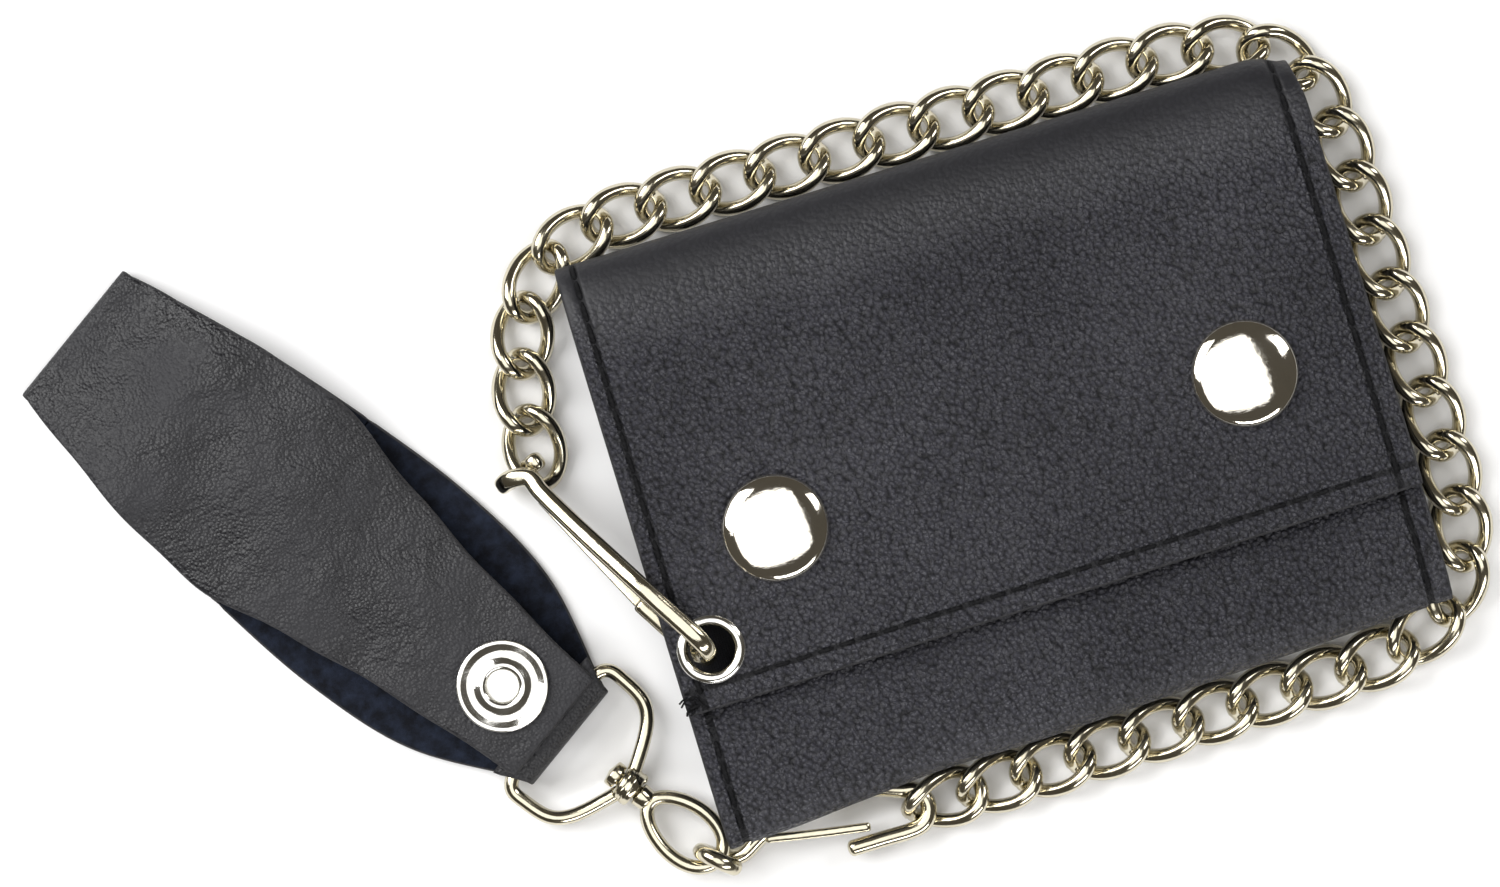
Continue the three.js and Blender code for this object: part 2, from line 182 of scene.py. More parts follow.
def grained_leather():
    """Black embossed leather: fine pebble grain that flattens out over the top fold, with painted
    shade darkening the fold and the stitch grooves.
    """
    material, shader = new_material("wallet_leather", (0.022, 0.022, 0.027), 0.42)
    n = Nodes(material)
    wobble = n.add("VectorMath", operation="MULTIPLY_ADD")
    drift = n.add("TexNoise")
    drift.inputs["Scale"].default_value = 1100
    n.join(n.at, drift.inputs["Vector"])
    n.join(drift.outputs["Color"], wobble.inputs[0])
    wobble.inputs[1].default_value = (0.0007, 0.0005, 0.0005)
    n.join(n.at, wobble.inputs[2])
    pebbles = n.cells(1450, wobble.outputs["Vector"], "F1")
    fine = n.noise(4200, 2)
    height = n.math("ADD", n.math("MULTIPLY", pebbles, -1.0), n.math("MULTIPLY", fine, 0.3))
    patchy = n.noise(38, 2)
    axes = n.add("SeparateXYZ")
    n.join(n.at, axes.inputs["Vector"])
    x, y, z = (axes.outputs[k] for k in "XYZ")
    top = n.span(y, 0.026, 0.037, 1.0, 0.1)
    strength = n.math("MULTIPLY", top, n.span(patchy, 0.3, 0.7, 0.75, 1.0))
    undulation = n.bump(n.noise(130, 3), 0.25, 0.0008)
    n.join(n.bump(height, strength, 0.0009, undulation), shader.inputs["Normal"])
    # Painted shade: the colour is darkened along the stitch grooves where the stitching draws the
    # leather in
    gaps = [n.math("ABSOLUTE", n.math("SUBTRACT", x, line)) for line in (-0.0517, 0.0511)]
    groove_shades = [n.span(gap, 0.0003, 0.0006, 1.0, 0.0) for gap in gaps]
    hem = n.math("ADD", n.math("SUBTRACT", y, n.math("MULTIPLY", x, 0.013)), 0.0202)
    hem_groove_shade = n.span(n.math("ABSOLUTE", hem), 0.0002, 0.0005, 0.6, 0.0)
    groove_shades.append(n.math("MULTIPLY", hem_groove_shade, n.span(z, 0.0118, 0.0122, 0.0, 1.0)))
    seam = n.math("MAXIMUM", n.math("MAXIMUM", groove_shades[0], groove_shades[1]), groove_shades[2])
    grain = n.math("MULTIPLY", n.math("SUBTRACT", pebbles, 0.45), n.math("MULTIPLY", top, 0.62))
    # Painted shade: the base colour is darkest over the top fold (top near 0.1), standing in for
    # the fold's shade; patchy adds random tone
    base = n.math("ADD", n.span(top, 0.1, 1.0, 0.66, 0.43), n.math("MULTIPLY", patchy, 0.1))
    mixed = n.math("ADD", grain, base)
    # Adds the painted groove shade along the stitching to the colour
    mixed = n.math("ADD", mixed, seam)
    n.join(
        n.tint(mixed, (0.056, 0.056, 0.07), (0.001, 0.001, 0.003), 0.22, 0.76),
        shader.inputs["Base Color"],
    )
    n.join(n.span(mixed, 0.2, 1.2, 0.3, 0.75), shader.inputs["Roughness"])
    return material


def strap_leather():
    """Softer, smoother black leather with long creases across and along the strap."""
    material, shader = new_material("strap_leather", (0.012, 0.012, 0.0135), 0.5)
    n = Nodes(material)
    turn = (0, 0, math.radians(56))
    across = n.stretched((60, 500, 200), turn)
    creases = n.noise(1.4, 4, 0.6, across, 0.6)
    grain = n.cells(2100, feature="F1")
    blotch = n.noise(70, 4)
    soft = n.bump(n.noise(85, 4, 0.5), 1.0, 0.0022)
    lined = n.bump(creases, 0.2, 0.0006, soft)
    n.join(n.bump(grain, 0.5, -0.0003, lined), shader.inputs["Normal"])
    n.join(
        n.tint(blotch, (0.003, 0.003, 0.005), (0.018, 0.018, 0.022), 0.36, 0.68),
        shader.inputs["Base Color"],
    )
    n.join(n.span(blotch, 0.35, 0.65, 0.4, 0.6), shader.inputs["Roughness"])
    return material


def suede():
    """The leather's flesh side: fibrous, dull and blue-black."""
    material, shader = new_material(
        "flesh_side", (0.008, 0.01, 0.018), 0.95, Specular_IOR_Level=0.15, Sheen_Weight=0.12
    )
    n = Nodes(material)
    fibres = n.noise(2400, 6, 0.75)
    mottle = n.noise(420, 4, 0.7)
    n.join(
        n.tint(mottle, (0.004, 0.005, 0.009), (0.016, 0.022, 0.04), 0.38, 0.68),
        shader.inputs["Base Color"],
    )
    n.join(n.bump(fibres, 0.7, 0.0004), shader.inputs["Normal"])
    return material


def lining_cloth():
    """Plain woven lining."""
    material, shader = new_material("lining_cloth", (0.02, 0.02, 0.024), 0.8)
    n = Nodes(material)
    waves = []
    for axis in ("X", "Y"):
        wave = n.add("TexWave", bands_direction=axis)
        wave.inputs["Scale"].default_value = 900
        n.join(n.at, wave.inputs["Vector"])
        waves.append(wave.outputs["Fac"])
    weave = n.math("MAXIMUM", *waves)
    n.join(n.bump(weave, 0.5, 0.00015), shader.inputs["Normal"])
    n.join(
        n.tint(n.noise(300), (0.012, 0.012, 0.015), (0.03, 0.03, 0.036)),
        shader.inputs["Base Color"],
    )
    return material


def cut_edge():
    """Dyed raw edge of the leather."""
    material, shader = new_material("leather_edge", (0.016, 0.016, 0.018), 0.75)
    n = Nodes(material)
    n.join(n.bump(n.noise(2200, 5, 0.7), 0.6, 0.0003), shader.inputs["Normal"])
    n.join(
        n.tint(n.noise(500), (0.008, 0.008, 0.01), (0.03, 0.029, 0.032)),
        shader.inputs["Base Color"],
    )
    return material


def plated(name, color, low, high, scratch):
    """Nickel plate with faint wear: uneven gloss, hairline scratches, slight warmth."""
    material, shader = new_material(name, color, low, 1.0)
    n = Nodes(material)
    worn = n.noise(240, 5, 0.65)
    n.join(n.span(worn, 0.35, 0.75, low, high), shader.inputs["Roughness"])
    darker = tuple(0.86 * c for c in color)
    n.join(n.tint(worn, color, darker, 0.45, 0.8), shader.inputs["Base Color"])
    hairs = n.noise(1.0, 2, 0.5, n.stretched((900, 9000, 2600), (0.3, 0.2, 0.7)))
    swell = n.bump(n.noise(420, 2), 0.12, 0.0003)
    n.join(n.bump(hairs, scratch, 0.00004, swell), shader.inputs["Normal"])
    return material


def thread_cotton():
    """Twisted black thread."""
    material, shader = new_material("thread", (0.004, 0.004, 0.005), 0.8, Specular_IOR_Level=0.2)
    n = Nodes(material)
    wave = n.add("TexWave", bands_direction="DIAGONAL")
    wave.inputs["Scale"].default_value = 900
    n.join(n.at, wave.inputs["Vector"])
    n.join(n.bump(wave.outputs["Fac"], 0.6, 0.00015), shader.inputs["Normal"])
    n.join(
        n.tint(n.noise(900), (0.002, 0.002, 0.003), (0.008, 0.008, 0.009)),
        shader.inputs["Base Color"],
    )
    return material


LEATHER = grained_leather()
STRAP_LEATHER = strap_leather()
SUEDE = suede()
LINING = lining_cloth()
EDGE = cut_edge()
NICKEL = plated("warm_nickel", (0.64, 0.59, 0.455), 0.1, 0.24, 0.12)
BRIGHT = plated("bright_nickel", (0.88, 0.84, 0.75), 0.04, 0.12, 0.1)
SILVER = plated("silver_nickel", (0.84, 0.83, 0.79), 0.08, 0.2, 0.08)
THREAD = thread_cotton()


# ---------- meshes ----------
def make(name, verts, faces, materials, slots=None, slot=None):
    mesh = bpy.data.meshes.new(name)
    mesh.from_pydata((np.asarray(verts) * MM).tolist(), [], faces)
    for material in materials:
        mesh.materials.append(material)
    mesh.polygons.foreach_set("use_smooth", [True] * len(mesh.polygons))
    if slots is not None:
        mesh.polygons.foreach_set("material_index", slots)
    mesh.update()
    piece = bpy.data.objects.new(name, mesh)
    scene.collection.objects.link(piece)
    return piece


def merged(parts):
    """Several (verts, faces) as one."""
    verts, faces, base = [], [], 0
    for v, f in parts:
        verts.append(np.asarray(v))
        faces += [[i + base for i in face] for face in f]
        base += len(v)
    return np.concatenate(verts), faces


def centripetal(points, closed=False, per=12):
    """Points along a centripetal Catmull-Rom curve through the given ones."""
    p = np.asarray(points, float)
    n = len(p)
    out = []
    for i in range(n if closed else n - 1):
        if closed:
            a, b, c, d = (p[(i + k) % n] for k in (-1, 0, 1, 2))
        else:
            b, c = p[i], p[i + 1]
            a = p[i - 1] if i else 2 * b - c
            d = p[i + 2] if i + 2 < n else 2 * c - b
        da, db, dc = (max(np.linalg.norm(v) ** 0.5, 1e-4) for v in (b - a, c - b, d - c))
        t1 = ((b - a) / da - (c - a) / (da + db) + (c - b) / db) * db
        t2 = ((c - b) / db - (d - b) / (db + dc) + (d - c) / dc) * db
        for k in range(per):
            t = k / per
            c2, c3 = -3 * b + 3 * c - 2 * t1 - t2, 2 * b - 2 * c + t1 + t2
            out.append(b + t1 * t + c2 * t * t + c3 * t**3)
    if not closed:
        out.append(p[-1])
    return np.array(out)


def respaced(path, step, closed=False):
    """The same path with its points an even distance apart."""
    full = np.vstack([path, path[:1]]) if closed else path
    run = np.concatenate([[0], np.cumsum(np.linalg.norm(np.diff(full, axis=0), axis=1))])
    count = max(2, int(round(run[-1] / step)))
    at = np.linspace(0, run[-1], count + 1)
    even = np.stack([np.interp(at, run, full[:, k]) for k in range(3)], 1)
    return even[:-1] if closed else even


def wire(path, radius, sides=14, closed=False, flat=None, shape=2.0, seam=None):
    """A wire swept along a path.

    flat = (side direction, half width, half height) makes it a bar; seam is where it is joined."""
    path = np.asarray(path, float)
    n = len(path)
    if closed:
        ahead = np.roll(path, -1, 0) - np.roll(path, 1, 0)
    else:
        ahead = np.gradient(path, axis=0)
    ahead = unit(ahead)
    sidex = np.zeros_like(path)
    if flat is not None:
        way = np.asarray(flat[0], float)
        way = way if way.ndim == 2 else np.tile(way, (n, 1))
        sidex = unit(way - ahead * np.sum(way * ahead, 1, keepdims=True))
    else:
        start = np.array([0, 0, 1.0]) if abs(ahead[0][2]) < 0.9 else np.array([1.0, 0, 0])
        sidex[0] = unit(start - ahead[0] * np.dot(start, ahead[0]))
        for i in range(1, n):
            sidex[i] = unit(sidex[i - 1] - ahead[i] * np.dot(sidex[i - 1], ahead[i]))
        if closed:
            last = unit(sidex[-1] - ahead[0] * np.dot(sidex[-1], ahead[0]))
            off = math.atan2(
                np.dot(np.cross(last, sidex[0]), ahead[0]), np.dot(last, sidex[0])
            )
            for i in range(n):
                a = off * i / n
                other = np.cross(ahead[i], sidex[i])
                sidex[i] = sidex[i] * math.cos(a) + other * math.sin(a)
    up = np.cross(ahead, sidex)
    half_w, half_h = (radius, radius) if flat is None else flat[1:]
    turn = np.arange(sides) * 2 * math.pi / sides
    cs = np.sign(np.cos(turn)) * np.abs(np.cos(turn)) ** (2 / shape) * half_w
    sn = np.sign(np.sin(turn)) * np.abs(np.sin(turn)) ** (2 / shape) * half_h
    grow = np.ones(n)
    if seam is not None:
        grow[seam % n] = 0.9
    rings = [
        path[i] + grow[i] * (cs[:, None] * sidex[i] + sn[:, None] * up[i]) for i in range(n)
    ]
    if not closed:
        caps = []
        for end, sign in ((0, -1), (n - 1, 1)):
            reach = min(half_w, half_h) * 0.6
            caps.append(
                [
                    path[end]
                    + sign * ahead[end] * reach * math.sin(a)
                    + math.cos(a) * (cs[:, None] * sidex[end] + sn[:, None] * up[end])
                    for a in (0.5, 1.0, 1.35)
                ]
            )
        rings = caps[0][::-1] + rings + caps[1]
    count = len(rings)
    verts = np.concatenate(rings)
    faces = []
    for i in range(count if closed else count - 1):
        j = (i + 1) % count
        for k in range(sides):
            m = (k + 1) % sides
            faces.append([i * sides + k, i * sides + m, j * sides + m, j * sides + k])
    if not closed:
        faces.append([k for k in reversed(range(sides))])
        faces.append([(count - 1) * sides + k for k in range(sides)])
    return verts, faces


def turned(profile, centre, sides=96):
    """Lathe work about the upright line through centre; the profile runs from axis to axis."""
    rings, faces = [], []
    turn = np.arange(sides) * 2 * math.pi / sides
    for r, z in profile:
        r = max(r, 0.004)
        rings.append(
            np.stack([r * np.cos(turn), r * np.sin(turn), np.full(sides, z)], 1) + centre
        )
    for i in range(len(rings) - 1):
        for k in range(sides):
            m = (k + 1) % sides
            faces.append([i * sides + k, i * sides + m, (i + 1) * sides + m, (i + 1) * sides + k])
    return np.concatenate(rings), faces


def closed_ring(profile, centre, sides=96):
    """Lathe work whose profile is a closed loop that never meets the axis."""
    verts, faces = turned(profile, centre, sides)
    last = (len(profile) - 1) * sides
    for k in range(sides):
        m = (k + 1) % sides
        faces.append([last + k, last + m, m, k])
    return verts, faces


def rounded(profile, radius=0.25, steps=3):
    """A lathe profile with its corners eased."""
    out = [profile[0]]
    for a, b, c in zip(profile, profile[1:], profile[2:]):
        a, b, c = (np.array(v, float) for v in (a, b, c))
        r1 = min(radius, np.linalg.norm(a - b) * 0.45)
        r2 = min(radius, np.linalg.norm(c - b) * 0.45)
        p, q = b + unit(a - b) * r1, b + unit(c - b) * r2
        for k in range(steps + 1):
            t = k / steps
            out.append(tuple((1 - t) ** 2 * p + 2 * t * (1 - t) * b + t * t * q))
    out.append(profile[-1])
    return out


def sheet_mesh(mid, thick, keep=None, ease=0.3, flip=False, sink=None):
    """A sheet of real thickness round a grid of mid points, with eased edges.

    Returns verts, faces and a slot per face: 0 outside, 1 inside, 2 edge."""
    nu, nv = mid.shape[:2]
    du = np.gradient(mid, axis=0)
    dv = np.gradient(mid, axis=1)
    normal = unit(np.cross(du, dv))
    if flip:
        normal = -normal
    keep = np.ones((nu - 1, nv - 1), bool) if keep is None else keep
    half = np.full((nu, nv, 1), thick / 2)
    sunk = np.zeros((nu, nv, 1)) if sink is None else sink[..., None]
    outer = mid + normal * (half - sunk)
    inner = mid - normal * half
    total = nu * nv
    verts = [outer.reshape(-1, 3), inner.reshape(-1, 3)]
    faces, slots = [], []
    index = np.arange(total).reshape(nu, nv)
    for i, j in zip(*np.nonzero(keep)):
        quad = [index[i, j], index[i + 1, j], index[i + 1, j + 1], index[i, j + 1]]
        if flip:
            quad.reverse()
        faces.append([int(k) for k in quad])
        slots.append(0)
        faces.append([int(k) + total for k in reversed(quad)])
        slots.append(1)
    # Directed edges that belong to one kept cell only are the sheet's edge
    edges = {}
    for face, slot in zip(faces, slots):
        if slot == 0:
            for a, b in zip(face, face[1:] + face[:1]):
                edges[(a, b)] = 1
    rim = [(a, b) for a, b in edges if (b, a) not in edges]
    inward = {}
    flat_mid = mid.reshape(-1, 3)
    around = {}
    for face, slot in zip(faces, slots):
        if slot == 0:
            middle = flat_mid[face].mean(0)
            for a in face:
                around.setdefault(a, []).append(middle)
    for a in {v for edge in rim for v in edge}:
        inward[a] = unit(flat_mid[a] - np.mean(around[a], 0))
    base = 2 * total
    ring_at = {}
    extra = []
    flat_normal = normal.reshape(-1, 3)
    steps = ((0.7, 0.8), (1.0, 0.35), (1.0, -0.35), (0.7, -0.8))
    for a in inward:
        ring_at[a] = base + len(extra)
        for push, lift in steps:
            extra.append(
                flat_mid[a] + inward[a] * ease * push + flat_normal[a] * thick / 2 * lift
            )
    if extra:
        verts.append(np.array(extra))
    for a, b in rim:
        left = [a] + [ring_at[a] + k for k in range(4)] + [a + total]
        right = [b] + [ring_at[b] + k for k in range(4)] + [b + total]
        for k in range(5):
            faces.append([right[k], left[k], left[k + 1], right[k + 1]])
            slots.append(2)
    return np.concatenate(verts), faces, slots


def used_only(verts, faces):
    """Drops points that no face uses."""
    used = sorted({i for face in faces for i in face})
    new = {old: k for k, old in enumerate(used)}
    return verts[used], [[new[i] for i in face] for face in faces]


# ---------- the wallet's leather ----------
HALF = 54.0  # half the wallet's width
FLAP_THICK = 1.9
EYELET = (box_of("eyelet")[0] + box_of("eyelet")[1])[:2] / 2
SIDE_IN = (2.3, 2.9)  # left and right stitch lines, in from the edge
HEM_IN = 2.9
STITCH = 3.18


def columns():
    """Stations across the wallet, close together beside the stitch lines, which lie near the edges.
    """
    lines = (-HALF + SIDE_IN[0], HALF - SIDE_IN[1])
    xs = set(np.round(np.arange(-HALF, HALF + 0.01, 1.2), 3)) | {HALF}
    for line in lines:
        xs = {x for x in xs if abs(x - line) > 1.3}
        xs |= set(np.round(line + np.arange(-1.2, 1.21, 0.2), 3))
    return np.array(sorted(xs))


def along(profile, step):
    """A (y, z) profile smoothed and cut into even steps."""
    points = np.array([[0, y, z] for y, z in profile], float)
    return respaced(centripetal(points, per=16), step)[:, 1:]


def dish_z(x, y):
    """Height of the back's middle: flat belly on the table, rising to the rim."""
    in_x = np.clip((HALF - np.abs(x)) / 15, 0, 1)
    in_y = np.clip(np.minimum(37.4 - y, y + 38.6) / 13.5, 0, 1)
    near = np.minimum(in_x, in_y)
    return 0.95 + 5.35 * (1 - near) ** 2 * (1 + 2 * near) * np.where(near < 1, 1, 0)


FLAP_RUN = [(-23.1, 13.45), (-18, 13.65), (-8, 13.75), (8, 13.85), (22, 13.85), (30, 13.6)]
FLAP_RUN += [(35, 12.95), (38.2, 11.9), (40.2, 10.4), (41.05, 8.6), (40.2, 7.0), (38.2, 6.25)]
BACK_RUN = [(34, 5.6), (30, 3.5), (24, 1.2), (12, 0.95), (-0.6, 0.95)]
LOWER_RUN = [(10, 10.75), (0, 10.8), (-12, 10.85), (-22, 10.9), (-30, 10.8), (-35, 10.45)]
LOWER_RUN += [(-38.4, 9.75), (-40.3, 8.75), (-40.85, 7.7), (-40.0, 6.75), (-38.0, 6.25)]
LOWER_BACK = [(-34.5, 5.2), (-30, 3.2), (-25, 1.2), (-14, 0.95), (-0.6, 0.95)]


def stitch_dip(x, run, hem):
    """How far the stitching draws the leather down."""
    dip = np.zeros(np.broadcast(x, run).shape)
    pull = 0.75 + 0.25 * np.cos(2 * math.pi * run / STITCH)
    for line in (-HALF + SIDE_IN[0], HALF - SIDE_IN[1]):
        dip += 0.45 * pull * np.exp(-(((x - line) / 0.5) ** 2))
    if hem:
        pull = 0.7 + 0.3 * np.cos(2 * math.pi * x / STITCH)
        dip += 0.35 * pull * np.exp(-(((run - HEM_IN) / 0.45) ** 2))
    return dip


def ripple(x, y, seed):
    """Slow unevenness of worn leather, in millimetres."""
    a = np.sin(x * 0.11 + seed) * np.cos(y * 0.13 + 1.7 * seed)
    b = np.sin(x * 0.05 - y * 0.21 + 2.3 * seed)
    return 0.14 * a + 0.1 * b


def wallet_sheet(run_points, back_points, top):
    """Mid points of one half of the outer leather: free edge, front, fold, then back."""
    xs = columns()
    front = along(run_points, 0.75)
    rest = along(run_points[-2:] + back_points, 1.5)
    rest = rest[rest[:, 1] < front[-1, 1] - 0.4]
    profile = np.vstack([front, rest])
    steps = np.linalg.norm(np.diff(profile, axis=0), axis=1)
    run = np.concatenate([[0], np.cumsum(steps)])
    turn_at = len(front)
    x = np.tile(xs[:, None], (1, len(profile)))
    y = np.tile(profile[:, 0], (len(xs), 1))
    z = np.tile(profile[:, 1], (len(xs), 1))
    s = np.tile(run, (len(xs), 1))
    is_back = np.tile(np.arange(len(profile)) >= turn_at, (len(xs), 1))
    edge = 1 - smooth(HALF - np.abs(x), 0, 7)
    upper = (~is_back) & (z > 9)
    z = np.where(upper, z - 0.35 * edge + ripple(x, y, 0.7 if top else 2.1), z)
    if top:
        y = y + 0.013 * x * (1 - smooth(y, -22, -5)) * upper
        corner = smooth(x, 46, HALF)
        high = smooth(y, 30, 41)
        y = y - 1.6 * corner**2 * high
        x = x - 0.7 * corner**2 * high * smooth(y, 33, 40)
    else:
        give = 0.55 * np.exp(-(((x + 22) / 9) ** 2))  # pressed in beside the chain's last links
        y = y + (0.0361 * x + give - 0.4 * smooth(-x, 34, 46)) * smooth(-y, 20, 38)
    blend = smooth(np.arange(len(profile)), turn_at - 3, turn_at + 4)[None, :]
    dish = dish_z(x, profile[None, :, 0])
    z = np.where(is_back, z * (1 - blend) + dish * blend, z)
    return xs, profile, np.stack([x, y, z], -1), s


def sampler(xs, mid, s, flip=False):
    """A function from (x, run) to the outer surface's point and direction out."""
    normal = unit(np.cross(np.gradient(mid, axis=0), np.gradient(mid, axis=1)))
    normal = -normal if flip else normal
    run = s[0]

    def at(x, r, lift):
        i = int(np.clip(np.searchsorted(xs, x) - 1, 0, len(xs) - 2))
        j = int(np.clip(np.searchsorted(run, r) - 1, 0, len(run) - 2))
        u = (x - xs[i]) / (xs[i + 1] - xs[i])
        v = (r - run[j]) / (run[j + 1] - run[j])
        w = ((1 - u) * (1 - v), u * (1 - v), (1 - u) * v, u * v)
        cells = ((i, j), (i + 1, j), (i, j + 1), (i + 1, j + 1))
        point = sum(k * mid[c] for k, c in zip(w, cells))
        out = unit(sum(k * normal[c] for k, c in zip(w, cells)))
        return point + out * (FLAP_THICK / 2 + lift)

    return at


def stitch(at, start, end, radius=0.33, gap=0.07):
    """One stitch: it rises out of its hole, lies in the groove and goes back down."""
    start, end = np.array(start), np.array(end)
    points = []
    for t, lift in ((gap, -0.9), (gap + 0.04, -0.45), (0.25, -0.24), (0.5, -0.18)):
        points.append(at(*(start + (end - start) * t), lift))
    for t, lift in ((0.75, -0.24), (0.96 - gap, -0.45), (1 - gap, -0.9)):
        points.append(at(*(start + (end - start) * t), lift))
    return wire(centripetal(points, per=3), radius, 8)


xs, profile, flap_mid, flap_run = wallet_sheet(FLAP_RUN, BACK_RUN, True)
EYELET_HOLE = 3.85
reach = np.hypot(flap_mid[..., 0] - EYELET[0], flap_mid[..., 1] - EYELET[1])
near_hole = (reach < EYELET_HOLE + 0.75) & (flap_mid[..., 2] > 9)
out_way = flap_mid[..., :2] - EYELET
stretch = np.maximum(reach, EYELET_HOLE) / np.maximum(reach, 1e-6)
moved = EYELET + out_way * stretch[..., None]
inside = (reach < EYELET_HOLE - 0.45) & (flap_mid[..., 2] > 9)
keep = ~(inside[:-1, :-1] | inside[1:, :-1] | inside[:-1, 1:] | inside[1:, 1:])
flap_mid[..., :2] = np.where(near_hole[..., None], moved, flap_mid[..., :2])
flap_dip = stitch_dip(flap_mid[..., 0], flap_run, True) * (flap_mid[..., 2] > 9)
verts, faces, slots = sheet_mesh(flap_mid, FLAP_THICK, keep, 0.35, sink=flap_dip)
verts, faces = used_only(verts, faces)
flap_leather = make("flap_leather", verts, faces, [LEATHER, LINING, EDGE], slots, "leather")
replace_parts(flap_leather, "flap_shell", "top_spine", "back_shell")
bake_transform(flap_leather)

flap_at = sampler(xs, flap_mid, flap_run)
parts = []
top_run = 67.5
for line in (-HALF + SIDE_IN[0], HALF - SIDE_IN[1]):
    for k in range(int((top_run - 2.2) / STITCH)):
        r = 2.2 + k * STITCH
        parts.append(stitch(flap_at, (line, r), (line, r + STITCH)))
for k in range(int(100.5 / STITCH)):
    x = -50.6 + k * STITCH
    if abs(x + STITCH / 2 - EYELET[0]) > 3.4:
        parts.append(stitch(flap_at, (x, HEM_IN), (x + STITCH, HEM_IN), 0.3, 0.16))
flap_stitching = make("flap_stitching", *merged(parts), [THREAD])
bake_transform(flap_stitching)

# Frayed thread ends at the hem's left corner
parts = []
for k in range(9):
    point = np.array([-52.6 + rng.uniform(-0.7, 0.7), -22.2 + rng.uniform(-0.9, 0.7), 14.3])
    trail = [point]
    way = rng.uniform(2.4, 4.9) if k > 3 else rng.uniform(0, 6.28)
    for _ in range(4):
        way += rng.uniform(-0.8, 0.8)
        stride = rng.uniform(0.35, 0.7)
        point = point + [math.cos(way) * stride, math.sin(way) * stride, rng.uniform(-0.15, 0.2)]
        trail.append(point)
    parts.append(wire(centripetal(trail, per=4), 0.16, 6))
knot = make("corner_knot", *merged(parts), [THREAD])
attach(knot, "flap")

NOTCH_X = -43.0
NOTCH_Y = -21.6
xs, profile, low_mid, low_run = wallet_sheet(LOWER_RUN, LOWER_BACK, False)
# The panel is cut back at the left, clear of the clip's hook
front_y = low_mid[..., 1].copy()
cut = 1 - smooth(low_mid[..., 0], NOTCH_X - 0.9, NOTCH_X + 0.9)
free_edge = 10 - (10 - NOTCH_Y) * cut
span = np.clip((10 - front_y) / 40, 0, 1)
shifted = free_edge - (free_edge + 30) * span
low_mid[..., 1] = np.where((span < 1) & (low_mid[..., 2] > 8), shifted, front_y)
low_dip = stitch_dip(low_mid[..., 0], low_run, False) * (low_mid[..., 2] > 8)
verts, faces, slots = sheet_mesh(low_mid, FLAP_THICK, None, 0.35, True, sink=low_dip)
lower_leather = make("lower_leather", verts, faces, [LEATHER, LINING, EDGE], slots, "leather")
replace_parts(lower_leather, "lower_panel", "bottom_spine")
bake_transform(lower_leather)

low_at = sampler(xs, low_mid, low_run, True)
parts = []
for line in (-HALF + SIDE_IN[0], HALF - SIDE_IN[1]):
    for k in range(5):
        r = 33.6 + k * STITCH
        parts.append(stitch(low_at, (line, r), (line, r + STITCH)))
lower_stitching = make("lower_stitching", *merged(parts), [THREAD])
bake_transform(lower_stitching)

# ---------- inside ----------
def flat_sheet(low, high, z_at, step=2.0):
    gx = np.linspace(low[0], high[0], int((high[0] - low[0]) / step) + 2)
    gy = np.linspace(low[1], high[1], int((high[1] - low[1]) / step) + 2)
    x, y = np.meshgrid(gx, gy, indexing="ij")
    return np.stack([x, y, z_at(x, y)], -1)


low, high = box_of("bill_divider")


def divider_z(x, y):
    near = np.minimum((high[0] - np.abs(x)) / 12, np.minimum(high[1] - y, y - low[1]) / 11)
    near = np.clip(near, 0, 1)
    return low[2] + 0.5 + 5.0 * (1 - near) ** 2 * (1 + 2 * near)


verts, faces, slots = sheet_mesh(flat_sheet(low + 0.3, high - 0.3, divider_z), 0.8, ease=0.3)
divider = make("bill_divider_cloth", verts, faces, [LINING, LINING, EDGE], slots, "lining")
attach(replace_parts(divider, "bill_divider"), "back")

low, high = box_of("card_pocket")
parts, slots = [], []
for k in range(3):
    top = high - [0, 8.0 * k, 0.5 * k]
    part_low = np.array([low[0], low[1] + 0.4, 0])
    z = high[2] - 0.3 - 0.5 * k
    grid = flat_sheet(part_low + 0.3, top - 0.3, lambda x, y: x * 0 + z)
    v, f, s = sheet_mesh(grid, 0.45, ease=0.2)
    parts.append((v, f))
    slots += s
pocket = make("card_pocket_slots", *merged(parts), [LINING, LINING, EDGE], slots, "lining")
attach(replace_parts(pocket, "card_pocket"), "lower_panel")

# ---------- snaps and eyelet ----------
for side in ("left", "right"):
    low, high = box_of(f"flap_snap_cap_{side}")
    centre = np.array([*(low + high)[:2] / 2, 0])
    foot = 14.62
    profile = rounded(
        [(0, 14.3), (3.2, 14.3), (3.2, low[2]), (5.0, low[2]), (5.0, foot), (7.25, foot)], 0.15
    )
    # The cap's edge is rolled under, then the dome swells to its crown
    roll = [(7.25 + 0.35 * math.sin(a), 15.0 - 0.38 * math.cos(a)) for a in np.linspace(0, 2.2, 8)]
    crown = high[2] - 0.02
    swell = [
        (7.48 * math.cos(a), 15.22 + (crown - 15.22) * math.sin(a) ** 0.92)
        for a in np.linspace(0.06, math.pi / 2, 22)
    ]
    cap = make(f"snap_cap_{side}", *turned(profile + roll + swell, centre), [BRIGHT], slot="nickel")
    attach(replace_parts(cap, f"flap_snap_cap_{side}"), "flap")
    low, high = box_of(f"panel_snap_stud_{side}")
    centre = np.array([*(low + high)[:2] / 2, 0])
    profile = [(0, low[2]), (4.4, low[2]), (4.6, low[2] + 0.5), (4.4, low[2] + 1.7)]
    profile += [(2.2, 11.75), (1.5, 12.1), (1.6, 12.8), (1.9, 13.2), (1.7, 13.65), (0, high[2])]
    verts, faces = turned(rounded(profile, 0.2), centre, 48)
    stud = make(f"snap_stud_{side}", verts, faces, [NICKEL], slot="nickel")
    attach(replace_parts(stud, f"panel_snap_stud_{side}"), "lower_panel")

